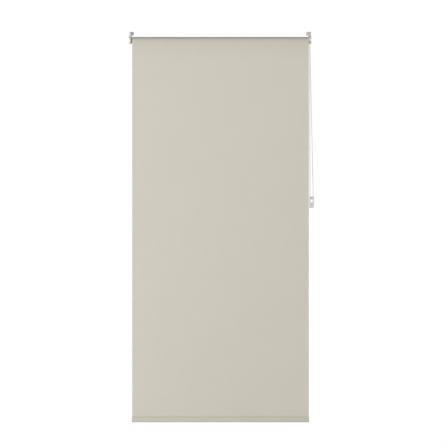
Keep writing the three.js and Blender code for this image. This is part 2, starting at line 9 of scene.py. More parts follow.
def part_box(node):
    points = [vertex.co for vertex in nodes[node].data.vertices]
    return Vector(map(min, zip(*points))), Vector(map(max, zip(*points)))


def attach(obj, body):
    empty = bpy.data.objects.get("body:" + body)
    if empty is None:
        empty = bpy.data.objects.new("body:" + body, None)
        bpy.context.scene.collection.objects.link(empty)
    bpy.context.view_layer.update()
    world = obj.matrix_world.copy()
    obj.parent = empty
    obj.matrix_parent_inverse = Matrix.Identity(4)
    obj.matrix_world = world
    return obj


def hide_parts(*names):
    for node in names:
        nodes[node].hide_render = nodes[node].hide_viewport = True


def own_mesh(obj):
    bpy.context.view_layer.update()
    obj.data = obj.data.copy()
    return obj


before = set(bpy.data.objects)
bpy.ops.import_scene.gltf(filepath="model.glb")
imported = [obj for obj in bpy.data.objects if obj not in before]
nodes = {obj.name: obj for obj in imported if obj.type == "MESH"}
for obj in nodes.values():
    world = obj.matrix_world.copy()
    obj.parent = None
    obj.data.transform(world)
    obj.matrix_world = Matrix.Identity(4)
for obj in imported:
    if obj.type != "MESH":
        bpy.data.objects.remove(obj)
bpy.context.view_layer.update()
scene = bpy.context.scene
scene.view_settings.view_transform = "Standard"  # keeps white surroundings white
mm = 0.001
print("frame loaded:", len(nodes), "nodes")


# camera: straight on from far away with a long lens, so next to no perspective
cameraSetup = {
    "middleX": 0.0170,
    "middleZ": -0.9030,
    "width": 2.1997,        # what the picture takes in, at the cloth
    "clothFront": -0.0464,
    "lens": 200,            # in mm, as the sensor's width is
    "sensor": 36,
    "farthest": 200,        # how far away it still sees, past the floor's far edge
}


def addCamera(setup):
    data = bpy.data.cameras.new("viewCamera")
    data.lens = setup["lens"]
    data.sensor_width = setup["sensor"]
    data.clip_end = setup["farthest"]
    camera = bpy.data.objects.new("viewCamera", data)
    scene.collection.objects.link(camera)
    distance = setup["width"] * setup["lens"] / setup["sensor"]
    camera.location = (setup["middleX"], setup["clothFront"] - distance, setup["middleZ"])
    camera.rotation_euler = (math.radians(90), 0, 0)
    scene.camera = camera


addCamera(cameraSetup)
print("camera placed")


# small tools for meshes

def newPiece(name, mesh):
    piece = bpy.data.objects.new(name, mesh)
    scene.collection.objects.link(piece)
    return piece


def meshOf(name, points, faces=(), edges=()):
    mesh = bpy.data.meshes.new(name)
    mesh.from_pydata([tuple(point) for point in points], list(edges), list(faces))
    mesh.update()
    return mesh


def baked(thing, name):
    # the finished shape as a plain mesh; the thing it came from goes
    bpy.context.view_layer.update()
    graph = bpy.context.evaluated_depsgraph_get()
    mesh = bpy.data.meshes.new_from_object(thing.evaluated_get(graph))
    bpy.data.objects.remove(thing)
    mesh.name = name
    return newPiece(name, mesh)


facets = {
    "crisp": 38,            # degrees: a sharper edge stays crisp and is eased
    "flat": 0.5,            # degrees: flatter neighbours become one face
    "merge": 0.002 * mm,    # corners closer than this become one
    "sameSide": 0.01 * mm,  # an edge this near the outermost side counts as on it
}


def smoothByAngle(mesh, degrees=facets["crisp"]):
    # round faces shade smooth and edges sharper than the angle stay crisp
    work = bmesh.new()
    work.from_mesh(mesh)
    for face in work.faces:
        face.smooth = True
    for edge in work.edges:
        edge.smooth = edge.is_manifold and edge.calc_face_angle(0) < math.radians(degrees)
    work.to_mesh(mesh)
    work.free()


def finish(piece, body, look, replaced=()):
    # the body it rides on, the finish it takes and the CAD nodes it stands for
    piece.data.materials.clear()
    piece.data.materials.append(look)
    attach(piece, body)
    if replaced:
        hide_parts(*replaced)
    return piece


def finishedCopy(nodeName, pieceName, edge, rim):
    # a CAD node's own shape, with its facets shaded round and its edges eased.
    # rim is how far the edges of its outermost side are eased, where that is more
    work = bmesh.new()
    work.from_mesh(nodes[nodeName].data)
    bmesh.ops.remove_doubles(work, verts=work.verts, dist=facets["merge"])
    bmesh.ops.dissolve_limit(
        work, angle_limit=math.radians(facets["flat"]), verts=work.verts, edges=work.edges)
    widest = max(edge, rim)
    outermost = max(abs(vertex.co.x) for vertex in work.verts)
    share = work.edges.layers.float.new("bevel_weight_edge")
    for line in work.edges:
        if line.is_manifold and line.calc_face_angle(0) > math.radians(facets["crisp"]):
            onRim = all(abs(abs(v.co.x) - outermost) < facets["sameSide"] for v in line.verts)
            line[share] = (rim if rim and onRim else edge) / widest if widest else 0.0
    mesh = bpy.data.meshes.new(pieceName)
    work.to_mesh(mesh)
    work.free()
    smoothByAngle(mesh)
    piece = newPiece(pieceName + "_rough", mesh)
    if widest:
        easing = piece.modifiers.new("eased edges", "BEVEL")
        easing.width = widest
        easing.segments = 3 if rim else 2
        easing.limit_method = "WEIGHT"
        easing.harden_normals = True
    return baked(piece, pieceName)


# small tools for node trees

def addNode(tree, kind, inputs=None, **settings):
    # inputs hold a value, the output that feeds them, or a list of outputs
    node = tree.nodes.new(kind)
    for name, value in settings.items():
        setattr(node, name, value)
    for name, value in (inputs or {}).items():
        socket = node.inputs[name]
        sources = value if isinstance(value, list) else [value]
        if isinstance(sources[0], bpy.types.NodeSocket):
            for source in sources:
                tree.links.new(source, socket)
        else:
            socket.default_value = value
    return node


def newGrower(name, inputs):
    # a Geometry Nodes tree with a named input for each size
    tree = bpy.data.node_groups.new(name, "GeometryNodeTree")
    face = tree.interface
    face.new_socket("Geometry", in_out="INPUT", socket_type="NodeSocketGeometry")
    for label, kind in inputs.items():
        face.new_socket(label, in_out="INPUT", socket_type="NodeSocket" + kind)
    face.new_socket("Geometry", in_out="OUTPUT", socket_type="NodeSocketGeometry")
    return tree, tree.nodes.new("NodeGroupInput").outputs


def endGrower(tree, geometry, given):
    real = addNode(tree, "GeometryNodeRealizeInstances", {"Geometry": geometry})
    smooth = addNode(tree, "GeometryNodeSetShadeSmooth", {"Geometry": real.outputs[0]})
    coated = addNode(tree, "GeometryNodeSetMaterial", {
        "Geometry": smooth.outputs[0], "Material": given["Material"]})
    addNode(tree, "NodeGroupOutput", {"Geometry": coated.outputs[0]})


def grown(seed, tree, values, name):
    # runs a tree on the seed mesh and keeps the result as a plain mesh
    modifier = seed.modifiers.new("grower", "NODES")
    modifier.node_group = tree
    for item in tree.interface.items_tree:
        if item.in_out == "INPUT" and item.name in values:
            modifier[item.identifier] = values[item.name]
    return baked(seed, name)


# small tools for materials

def linear(hexColour):
    # an sRGB hex colour as the linear one that shaders take
    parts = [int(hexColour[i:i + 2], 16) / 255 for i in (1, 3, 5)]
    return (*[c / 12.92 if c <= 0.04045 else ((c + 0.055) / 1.055) ** 2.4 for c in parts], 1)


def newMaterial(name, **sockets):
    # a Principled shader with its own sockets set; returns the tree and shader as well
    made = bpy.data.materials.new(name)
    made.use_nodes = True
    tree = made.node_tree
    tree.nodes.clear()
    shader = addNode(tree, "ShaderNodeBsdfPrincipled")
    for socket, value in sockets.items():
        shader.inputs[socket].default_value = value
    addNode(tree, "ShaderNodeOutputMaterial", {"Surface": shader.outputs[0]})
    return made, tree, shader


def grainOf(tree, size, stretch=(1, 1, 1), detail=2.0, place=None):
    # noise whose features are size apart, drawn out along an axis by its stretch
    if place is None:
        place = addNode(tree, "ShaderNodeTexCoord").outputs["Object"]
    spread = addNode(tree, "ShaderNodeMapping", {
        "Vector": place, "Scale": tuple(1 / s for s in stretch)})
    noise = addNode(tree, "ShaderNodeTexNoise", {
        "Vector": spread.outputs[0], "Scale": 1 / size, "Detail": detail})
    return noise.outputs["Fac"]


noiseSpan = (0.3, 0.7)  # noise keeps near a half, nearly all of it within this


def spanned(tree, noise, low, high):
    # noise spread out, so that it runs from low to high
    return addNode(tree, "ShaderNodeMapRange", {
        "Value": noise, "From Min": noiseSpan[0], "From Max": noiseSpan[1],
        "To Min": low, "To Max": high}).outputs[0]


def blended(tree, share, first, second):
    # sockets 6 and 7 are the colours, and 2 is the colour that comes out
    return addNode(tree, "ShaderNodeMix", {
        0: share, 6: linear(first), 7: linear(second)}, data_type="RGBA").outputs[2]


def toned(tree, shader, noise, first, second):
    # the base colour runs from one tone to the other with the noise
    colour = blended(tree, spanned(tree, noise, 0, 1), first, second)
    tree.links.new(colour, shader.inputs["Base Color"])


def roughened(tree, shader, noise, low, high):
    tree.links.new(spanned(tree, noise, low, high), shader.inputs["Roughness"])


def raised(tree, shader, height, depth, strength=1.0, under=None):
    # bump of a real depth in metres, over another bump if there is one
    inputs = {"Height": height, "Distance": depth, "Strength": strength}
    if under is not None:
        inputs["Normal"] = under
    bump = addNode(tree, "ShaderNodeBump", inputs)
    tree.links.new(bump.outputs[0], shader.inputs["Normal"])
    return bump.outputs[0]


# materials

clothWeave = {
    "thread": 0.7 * mm,     # real threads are 0.35 mm apart, drawn coarser so that they show
    "threadDepth": 0.13 * mm,
    "flatAlong": 0.4,       # the power that makes a thread flat lengthwise
    "dive": 0.12,           # how softly a thread goes under the next one
    "slub": 1.1 * mm,       # thick places in the thread
    "slubLength": 38,
    "slubDepth": 0.05 * mm,
    "slubTints": (0.32, 0.26),  # the most of the shade that slubs take, weft and warp
    "drift": 240 * mm,      # broad drifts of tone, from the dye bath
    "driftTint": 0.22,
    "warp": "#CDC9BD",
    "weft": "#C6C2B5",
    "shade": "#C2BEB1",
    "paintedBackedShade": 0.94,         # brightness left by painted shade where something lies behind the cloth
    "settling": 110 * mm,   # over which that painted shade lightens below the roll
    "barEdge": 2 * mm,      # over which the painted shade deepens again at the bar
    "onRoll": 0.92,         # brightness left by more painted shade on the roll itself
    "leaving": 14 * mm,     # over which that ends, where the cloth leaves the roll
    "turned": 0.76,         # brightness left by painted shade where it faces up, or down under the bar
    "tilts": (0.1, 0.8),    # that begins and is full here: 0 faces level, 1 straight up or down
    "paintedFoldShade": 0.60,        # and by painted shade along the bottom fold
    "paintedFoldShadeWidth": 7 * mm,
}


def weavePattern(tree, across, along):
    # how high the threads stand, and where the warp is on top
    waves = []
    for part in (across, along):
        turned = addNode(tree, "ShaderNodeMath", {
            0: part, 1: math.pi / clothWeave["thread"]}, operation="MULTIPLY").outputs[0]
        waves.append(addNode(tree, "ShaderNodeMath", {0: turned}, operation="SINE").outputs[0])
    crossing = addNode(tree, "ShaderNodeMath", {
        0: waves[0], 1: waves[1]}, operation="MULTIPLY").outputs[0]
    # a thread is round across and nearly flat along, till it dives under the next one
    backs = []
    for crosswise, lengthwise in (waves, waves[::-1]):
        roundSide = addNode(tree, "ShaderNodeMath", {
            0: crosswise}, operation="ABSOLUTE").outputs[0]
        flatSide = addNode(tree, "ShaderNodeMath", {
            0: lengthwise}, operation="ABSOLUTE").outputs[0]
        flatSide = addNode(tree, "ShaderNodeMath", {
            0: flatSide, 1: clothWeave["flatAlong"]}, operation="POWER").outputs[0]
        backs.append(addNode(tree, "ShaderNodeMath", {
            0: roundSide, 1: flatSide}, operation="MULTIPLY").outputs[0])
    # the warp is on top where the two waves agree
    warpOnTop = addNode(tree, "ShaderNodeMapRange", {
        "Value": crossing, "From Min": -clothWeave["dive"],
        "From Max": clothWeave["dive"]}).outputs[0]
    threads = addNode(tree, "ShaderNodeMix", {0: warpOnTop, 2: backs[1], 3: backs[0]}).outputs[0]
    return threads, warpOnTop


def paintedClothShading(tree, along):
    # pairs: where painted shade darkens the cloth, and the brightness that it has left there.
    # Painted shade stands in for daylight through one layer: deeper over the roll and over the
    # bar
    hemStart = -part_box("fabric_panel")[0].z
    # painted shade over the roll, easing off below it, and over the bar
    overRoll = addNode(tree, "ShaderNodeMapRange", {
        "Value": along, "From Max": clothWeave["settling"], "To Min": 1, "To Max": 0},
        interpolation_type="SMOOTHSTEP").outputs[0]
    overBar = addNode(tree, "ShaderNodeMapRange", {
        "Value": along, "From Min": hemStart,
        "From Max": hemStart + clothWeave["barEdge"]}).outputs[0]
    paintedBackedShade = addNode(tree, "ShaderNodeMath", {
        0: overRoll, 1: overBar}, operation="MAXIMUM").outputs[0]
    # more painted shade on the roll itself, ending where the cloth leaves it
    onRoll = addNode(tree, "ShaderNodeMapRange", {
        "Value": along, "From Max": clothWeave["leaving"], "To Min": 1, "To Max": 0}).outputs[0]
    # painted shade where it faces up or down
    facing = addNode(tree, "ShaderNodeTexCoord").outputs["Normal"]
    upward = addNode(tree, "ShaderNodeSeparateXYZ", {0: facing}).outputs[2]
    tilt = addNode(tree, "ShaderNodeMath", {0: upward}, operation="ABSOLUTE").outputs[0]
    turned = addNode(tree, "ShaderNodeMapRange", {
        "Value": tilt, "From Min": clothWeave["tilts"][0],
        "From Max": clothWeave["tilts"][1]}).outputs[0]
    # how far it is from the bottom fold, measured along the cloth, for painted shade along it
    hemLow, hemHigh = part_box("hem_pocket")
    foldRadius = (hemHigh.y - hemLow.y) / 2
    fold = hemStart + hemHigh.z - hemLow.z + foldRadius * (math.pi / 2 - 1)
    fromFold = addNode(tree, "ShaderNodeMath", {
        0: along, 1: fold}, operation="SUBTRACT").outputs[0]
    fromFold = addNode(tree, "ShaderNodeMath", {0: fromFold}, operation="ABSOLUTE").outputs[0]
    paintedFoldShade = addNode(tree, "ShaderNodeMapRange", {
        "Value": fromFold, "From Max": clothWeave["paintedFoldShadeWidth"], "To Min": 1, "To Max": 0},
        interpolation_type="SMOOTHSTEP").outputs[0]
    return (
        (paintedBackedShade, clothWeave["paintedBackedShade"]), (onRoll, clothWeave["onRoll"]),
        (turned, clothWeave["turned"]), (paintedFoldShade, clothWeave["paintedFoldShade"]))


def wovenPolyester():
    # plain weave in polyester: dead matt, with a soft sheen where light grazes the threads
    look, tree, shader = newMaterial(
        "wovenPolyester", **{"Roughness": 0.88, "IOR": 1.5, "Specular IOR Level": 0.28,
                             "Sheen Weight": 0.12, "Sheen Roughness": 0.5})
    place = addNode(tree, "ShaderNodeUVMap", uv_map="alongCloth").outputs[0]
    across, along = addNode(tree, "ShaderNodeSeparateXYZ", {0: place}).outputs[:2]
    threads, warpOnTop = weavePattern(tree, across, along)
    colour = blended(tree, warpOnTop, clothWeave["weft"], clothWeave["warp"])
    # slubs run along the weft and the warp
    slubs = [grainOf(tree, clothWeave["slub"], stretch, place=place) for stretch in (
        (clothWeave["slubLength"], 1, 1), (1, clothWeave["slubLength"], 1))]
    drift = grainOf(tree, clothWeave["drift"], detail=3.0, place=place)
    for noise, most in zip([*slubs, drift], [*clothWeave["slubTints"], clothWeave["driftTint"]]):
        colour = addNode(tree, "ShaderNodeMix", {
            0: spanned(tree, noise, 0, most), 6: colour, 7: linear(clothWeave["shade"])},
            data_type="RGBA").outputs[2]
    # painted shade: each share multiplies the colour down to the brightness left there
    for share, left in paintedClothShading(tree, along):
        colour = addNode(tree, "ShaderNodeMix", {
            0: share, 6: colour, 7: (left, left, left, 1)},
            data_type="RGBA", blend_type="MULTIPLY").outputs[2]
    tree.links.new(colour, shader.inputs["Base Color"])
    roughened(tree, shader, slubs[0], 0.82, 0.94)
    thick = raised(tree, shader, slubs[0], clothWeave["slubDepth"], 0.6)
    raised(tree, shader, threads, clothWeave["threadDepth"], 0.7, thick)
    return look


def weldedPolyester():
    # the same cloth pressed and half melted by the welder: flatter and a little glossier
    look, tree, shader = newMaterial(
        "weldedPolyester", **{"Roughness": 0.55, "IOR": 1.5, "Specular IOR Level": 0.4})
    mottle = grainOf(tree, 1.6 * mm)
    toned(tree, shader, mottle, "#BEBAAD", "#CAC6B9")
    raised(tree, shader, mottle, 0.05 * mm)
    return look


def powderCoatedSteel():
    # baked powder paint: satin, with the faint orange peel of powder that flowed together
    look, tree, shader = newMaterial(
        "powderCoatedSteel", **{"Roughness": 0.42, "IOR": 1.5, "Specular IOR Level": 0.45})
    peel = grainOf(tree, 1.3 * mm, detail=1.0)
    broad = grainOf(tree, 14 * mm)
    toned(tree, shader, broad, "#D7D6D2", "#DFDEDA")
    roughened(tree, shader, peel, 0.36, 0.48)
    raised(tree, shader, peel, 0.05 * mm, 0.8)
    return look


def mouldedPlastic(name, pale, dark, roughness, grain, bump=0.7, mottle=0.06, **sockets):
    # injection moulded: a fine grain from the eroded steel of the mould, and broad flow marks
    look, tree, shader = newMaterial(name, **{"Roughness": roughness, "IOR": 1.49, **sockets})
    flow = grainOf(tree, 17 * mm, (1, 1, 2.5))
    fine = grainOf(tree, grain, detail=3.0)
    toned(tree, shader, flow, dark, pale)
    roughened(tree, shader, fine, roughness - mottle, roughness + mottle)
    raised(tree, shader, fine, 0.03 * mm, bump)
    return look


def platedSteel():
    # bright zinc plate: a soft metal shine with cloudy patches from the plating bath
    look, tree, shader = newMaterial("zincPlatedSteel", **{"Metallic": 1.0, "Roughness": 0.42})
    cloud = grainOf(tree, 2.2 * mm, detail=3.0)
    toned(tree, shader, cloud, "#D2D4D6", "#E6E7E8")
    roughened(tree, shader, cloud, 0.34, 0.52)
    raised(tree, shader, grainOf(tree, 0.3 * mm), 0.01 * mm, 0.5)
    return look


def extrudedAluminium():
    # mill finish: fine straight lines along X, where the die dragged on the hot metal
    look, tree, shader = newMaterial("extrudedAluminium", **{"Metallic": 1.0, "Roughness": 0.36})
    lines = grainOf(tree, 0.4 * mm, (160, 1, 1), detail=3.0)
    toned(tree, shader, lines, "#B4B6B8", "#CCCED0")
    roughened(tree, shader, lines, 0.28, 0.46)
    raised(tree, shader, lines, 0.01 * mm, 0.6)
    return look


def drawnSpringSteel():
    # hard drawn wire: dark and shiny, with faint draw marks and a film of oil
    look, tree, shader = newMaterial(
        "drawnSpringSteel", **{"Metallic": 1.0, "Roughness": 0.3, "Coat Weight": 0.3})
    marks = grainOf(tree, 0.25 * mm, (6, 1, 1), detail=3.0)
    toned(tree, shader, marks, "#6F7174", "#8D8F92")
    raised(tree, shader, marks, 0.006 * mm, 0.5)
    return look


def gummedTissue():
    # double-sided tape on tissue: cream, matt and a little uneven where the gum is thick
    look, tree, shader = newMaterial("gummedTissue", **{"Roughness": 0.7, "IOR": 1.47})
    gum = grainOf(tree, 2.5 * mm, detail=3.0)
    toned(tree, shader, gum, "#D0C8B0", "#DED7C4")
    raised(tree, shader, gum, 0.04 * mm)
    return look


cloth = wovenPolyester()
weld = weldedPolyester()
powderCoat = powderCoatedSteel()
# ABS, moulded with a satin grain: clean, barely warm white that catches light on its edges
whiteAbs = mouldedPlastic("mouldedAbs", "#DEDDD9", "#D7D6D2", 0.38, 0.45 * mm)
# acetal: hard, slippery and slightly waxy, so the beads glow a little at their rims
acetal = mouldedPlastic(
    "mouldedAcetal", "#DCDBD7", "#D3D2CD", 0.26, 0.8 * mm,
    **{"Subsurface Weight": 0.12, "Subsurface Radius": (1.0, 0.95, 0.9),
       "Subsurface Scale": 1.2 * mm})
# polycarbonate with a milky tint: light passes, but what is behind shows only as a blur
milkyPolycarbonate = mouldedPlastic(
    "milkyPolycarbonate", "#F8F8F7", "#F4F4F3", 0.34, 1.4 * mm, 0.03, 0.01,
    **{"IOR": 1.5, "Transmission Weight": 0.08, "Subsurface Weight": 0.25,
       "Subsurface Radius": (1.0, 1.0, 1.0), "Subsurface Scale": 2.0 * mm})
# glass-filled nylon, dyed grey: dull, with a coarse skin
greyNylon = mouldedPlastic("mouldedGreyNylon", "#B3B2AE", "#A9A8A4", 0.5, 0.35 * mm)
# nylon dyed through with carbon black: dull, wears to a dark shine
blackNylon = mouldedPlastic("mouldedBlackNylon", "#303133", "#292A2C", 0.48, 0.35 * mm)
zinc = platedSteel()
aluminium = extrudedAluminium()
springWire = drawnSpringSteel()
tissue = gummedTissue()
print("materials mixed")


# the bead chain: an endless loop of beads moulded on a cord. It goes over the sprocket
# and down to a grooved wheel on the wall that stands at right angles to it
chain = {
    "bead": 4.5 * mm,
    "beadLength": 4.6 * mm,
    "cord": 1.4 * mm,
    "pitch": 6 * mm,
    "sprocket": Vector((442.2, -30, 0)) * mm,
    "pockets": 12,
    "leg": 10.19 * mm,           # straight run below the sprocket's axis
    "wheel": Vector((452.6, -6.5, -809)) * mm,
    "wheelRadius": 8.5 * mm,
    "wheelStep": 10,             # degrees between points round the wheel
    "beadSides": 10,
    "beadRings": 6,
    "cordSides": 6,
}


def chainRoute():
    # corners in the pockets' middles, from the top pocket down the front and back again
    def pocket(degrees):
        radius = chain["pitch"] / 2 / math.sin(math.pi / chain["pockets"])
        angle = math.radians(degrees)
        outward = Vector((0, math.cos(angle), math.sin(angle)))
        return chain["sprocket"] + outward * radius

    def aroundWheel(degrees):
        angle = math.radians(degrees)
        outward = Vector((math.cos(angle), 0, math.sin(angle)))
        return chain["wheel"] + outward * chain["wheelRadius"]

    step = 360 // chain["pockets"]
    drop = Vector((0, 0, -chain["leg"]))
    front = [pocket(angle) for angle in range(90, 181, step)]
    below = [aroundWheel(angle) for angle in range(0, -181, -chain["wheelStep"])]
    back = [pocket(angle) for angle in range(0, 90, step)]
    return front + [front[-1] + drop] + below + [back[0] + drop] + back


def evenlySpaced(corners, spacing):
    # points a bead apart round a closed line, a whole number of them
    line = np.array([*corners, corners[0]])
    steps = np.linalg.norm(np.diff(line, axis=0), axis=1)
    travelled = np.concatenate([[0], np.cumsum(steps)])
    count = round(travelled[-1] / spacing)
    wanted = np.arange(count) * travelled[-1] / count
    return np.stack([np.interp(wanted, travelled, line[:, i]) for i in range(3)], axis=1)


def beadChainTree():
    tree, given = newGrower("beadsOnCord", {
        "Bead Diameter": "Float", "Bead Length": "Float", "Cord Diameter": "Float",
        "Material": "Material"})
    line = addNode(tree, "GeometryNodeMeshToCurve", {"Mesh": given["Geometry"]}).outputs[0]
    radius = addNode(tree, "ShaderNodeMath", {
        0: given["Bead Diameter"], 1: 2}, operation="DIVIDE").outputs[0]
    ball = addNode(tree, "GeometryNodeMeshUVSphere", {
        "Segments": chain["beadSides"], "Rings": chain["beadRings"],
        "Radius": radius}).outputs[0]
    longer = addNode(tree, "ShaderNodeMath", {
        0: given["Bead Length"], 1: given["Bead Diameter"]}, operation="DIVIDE").outputs[0]
    size = addNode(tree, "ShaderNodeCombineXYZ", {"X": 1.0, "Y": 1.0, "Z": longer}).outputs[0]
    bead = addNode(tree, "GeometryNodeTransform", {"Geometry": ball, "Scale": size}).outputs[0]
    along = addNode(tree, "GeometryNodeInputTangent").outputs[0]
    turn = addNode(tree, "FunctionNodeAlignRotationToVector", {"Vector": along}, axis="Z")
    beads = addNode(tree, "GeometryNodeInstanceOnPoints", {
        "Points": line, "Instance": bead, "Rotation": turn.outputs[0]}).outputs[0]
    cordRadius = addNode(tree, "ShaderNodeMath", {
        0: given["Cord Diameter"], 1: 2}, operation="DIVIDE").outputs[0]
    section = addNode(tree, "GeometryNodeCurvePrimitiveCircle", {
        "Resolution": chain["cordSides"], "Radius": cordRadius}).outputs[0]
    cord = addNode(tree, "GeometryNodeCurveToMesh", {
        "Curve": line, "Profile Curve": section}).outputs[0]
    both = addNode(tree, "GeometryNodeJoinGeometry", {"Geometry": [beads, cord]}).outputs[0]
    endGrower(tree, both, given)
    return tree


def addBeadChain():
    points = evenlySpaced(chainRoute(), chain["pitch"])
    count = len(points)
    loop = [(i, (i + 1) % count) for i in range(count)]
    seed = newPiece("chainLine", meshOf("chainLine", points, edges=loop))
    piece = grown(seed, beadChainTree(), {
        "Bead Diameter": chain["bead"], "Bead Length": chain["beadLength"],
        "Cord Diameter": chain["cord"], "Material": acetal}, "bead_chain")
    finish(piece, "fixings", acetal, [
        "chain_front_strand", "chain_back_strand", "chain_over_sprocket", "chain_around_wheel"])
    length = sum((Vector(points[i]) - Vector(points[i - 1])).length for i in range(1, count))
    return count, length


beadCount, chainLength = addBeadChain()
print("bead chain:", beadCount, "beads,", round(chainLength, 3), "m")


# the cloth: a roll, the panel that hangs from its front, and the hem round the bottom bar
panelSize = {
    "thickness": 0.4 * mm,
    "columns": 72,
    "rows": 190,
    "curl": 0.9 * mm,         # how far a side edge curls
    "curlWidth": 13 * mm,
    "wave": 0.55 * mm,        # broad waves left from the roll it was packed on
    "calm": 70 * mm,          # over which the waves set in below the roll and above the bar
    "flat": 85 * mm,          # quite flat above the bar, where the weld is
}
panelWaves = {
    # soft set lines across the width: place down the panel, breadth and rise of each
    "lines": (
        (0.36, 0.020, 0.9), (0.375, 0.012, -0.5), (0.155, 0.03, -0.35), (0.64, 0.024, 0.8),
        (0.665, 0.013, -0.5), (0.82, 0.03, 0.4), (0.93, 0.014, 0.55)),
    "wander": 0.004,          # how far a line strays from level
    "wanderAcross": 2.2,      # radians over the width
    "wanderApart": 9,         # so that no two lines stray alike
    "broad": 0.45,            # rise of the broad waves
    "broadDown": 7.3,         # radians over the drop
    "broadSlant": 2.4,        # radians by which one side is ahead of the other
    "broadAcross": 2.6,       # radians over the width
    "broadStart": 0.6,
    "curlMean": 0.55,         # share of the side edges' curl that is always there
    "curlChange": 0.45,       # and share that comes and goes down the drop
    "curlDown": 5.1,
    "curlSlant": 3.0,
}
rollSize = {
    "axisY": -30 * mm,
    "innerRadius": 15.1 * mm,
    "outerRadius": 16.2 * mm,
    "turns": 2,
    "thickness": 0.4 * mm,
    "steps": 180,
}
hemSize = {
    "thickness": 0.5 * mm,
    "lap": 0.25 * mm,         # how far it reaches up to the panel
    "neck": 5.12 * mm,        # over which the front swells out over the bar
    "tail": 8 * mm,           # turned up behind the panel and welded
    "roundSteps": 14,
}


def nameCloth(mesh, across, along):
    # a map in metres across and along the cloth, so the weave runs on from piece to piece
    layer = mesh.uv_layers.new(name="alongCloth")
    corner = np.array([loop.vertex_index for loop in mesh.loops])
    layer.data.foreach_set("uv", np.stack([across[corner], along[corner]], 1).ravel())


def panelDepth(x, z, low, high):
    # how far the hung cloth stands off its flat plane, towards the room
    size, form = panelSize, panelWaves
    height = high.z - low.z
    down = high.z - z
    calm = np.clip(down / size["calm"], 0, 1)
    calm = calm * np.clip((height - down - size["flat"]) / size["calm"], 0, 1)
    calm = calm * calm * (3 - 2 * calm)
    share = (x - low.x) / (high.x - low.x)
    waves = np.zeros_like(x)
    for place, breadth, rise in form["lines"]:
        level = place + form["wander"] * np.sin(
            form["wanderAcross"] * share + form["wanderApart"] * place)
        waves += rise * np.exp(-((down / height - level) / breadth) ** 2)
    waves += form["broad"] * np.sin(
        form["broadDown"] * down / height + form["broadSlant"] * share) * np.sin(
        form["broadAcross"] * share + form["broadStart"])
    edge = np.minimum(x - low.x, high.x - x)
    curl = np.exp(-edge / size["curlWidth"]) * (
        form["curlMean"] + form["curlChange"] * np.sin(
            form["curlDown"] * down / height + form["curlSlant"] * share))
    return calm * (size["wave"] * waves + size["curl"] * curl)


def addPanel():
    size = panelSize
    low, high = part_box("fabric_panel")
    # closer together at the sides, where the cloth curls
    even = np.linspace(-1, 1, size["columns"] + 1)
    across = low.x + (high.x - low.x) * (0.5 + 0.5 * np.sin(even * math.pi / 2))
    down = np.linspace(high.z, low.z, size["rows"] + 1)
    x, z = np.meshgrid(across, down)
    front = low.y - panelDepth(x, z, low, high)
    back = front + size["thickness"]
    count = x.size
    points = np.concatenate([
        np.stack([x.ravel(), front.ravel(), z.ravel()], 1),
        np.stack([x.ravel(), back.ravel(), z.ravel()], 1)])
    wide, tall = size["columns"] + 1, size["rows"] + 1
    faces = []
    for row in range(tall - 1):
        for column in range(wide - 1):
            a = row * wide + column
            square = (a, a + wide, a + wide + 1, a + 1)
            faces.append(square)
            faces.append(tuple(count + i for i in reversed(square)))
    rim = [row * wide for row in range(tall)]
    rim += [(tall - 1) * wide + column for column in range(1, wide)]
    rim += [row * wide + wide - 1 for row in range(tall - 2, -1, -1)]
    rim += list(range(wide - 2, 0, -1))
    for a, b in zip(rim, rim[1:] + rim[:1]):
        faces.append((b, a, a + count, b + count))
    mesh = meshOf("cloth_panel", points, faces)
    smoothByAngle(mesh)
    nameCloth(mesh, points[:, 0], -points[:, 2])
    piece = newPiece("cloth_panel", mesh)
    finish(piece, "fixings", cloth, ["fabric_panel"])
    return piece


def clothStripTree():
    # cloth of one width that follows a line, seen end on
    tree, given = newGrower("clothAlongLine", {
        "Cloth Width": "Float", "Cloth Thickness": "Float", "Material": "Material"})
    line = addNode(tree, "GeometryNodeMeshToCurve", {"Mesh": given["Geometry"]}).outputs[0]
    upright = addNode(tree, "GeometryNodeSetCurveNormal", {
        "Curve": line, "Normal": (1.0, 0.0, 0.0)}, mode="FREE").outputs[0]
    section = addNode(tree, "GeometryNodeCurvePrimitiveQuadrilateral", {
        "Width": given["Cloth Width"], "Height": given["Cloth Thickness"]}).outputs[0]
    strip = addNode(tree, "GeometryNodeCurveToMesh", {
        "Curve": upright, "Profile Curve": section, "Fill Caps": True}).outputs[0]
    endGrower(tree, strip, given)
    return tree


def addStrip(name, body, line, thickness, along, way, node, tree):
    # line holds (Y, Z) points; along is the cloth's measure at the first of them, and way is
    # 1 where it grows along the line and -1 where it falls
    low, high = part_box(node)
    middle = (low.x + high.x) / 2
    points = [(middle, y, z) for y, z in line]
    edges = [(i, i + 1) for i in range(len(points) - 1)]
    seed = newPiece(name + "_line", meshOf(name + "_line", points, edges=edges))
    piece = grown(seed, tree, {
        "Cloth Width": high.x - low.x, "Cloth Thickness": thickness, "Material": cloth}, name)
    mesh = piece.data
    smoothByAngle(mesh)
    steps = [math.dist(a, b) for a, b in zip(line, line[1:])]
    measure = along + way * np.concatenate([[0], np.cumsum(steps)])
    place = np.array([v.co for v in mesh.vertices])
    ring = np.arange(len(place)) // 4  # four corners of cloth at each point of the line
    nameCloth(mesh, place[:, 0], measure[ring])
    finish(piece, body, cloth, [node])
    return piece


def rollLine():
    # from the front, where the panel hangs, back over the top and inwards
    size = rollSize
    line = []
    for step in range(size["steps"] * size["turns"] + 1):
        turned = step / size["steps"]
        radius = size["outerRadius"] + (
            size["innerRadius"] - size["outerRadius"]) * turned / size["turns"]
        angle = math.pi - 2 * math.pi * turned
        line.append((size["axisY"] + radius * math.cos(angle), radius * math.sin(angle)))
    return line


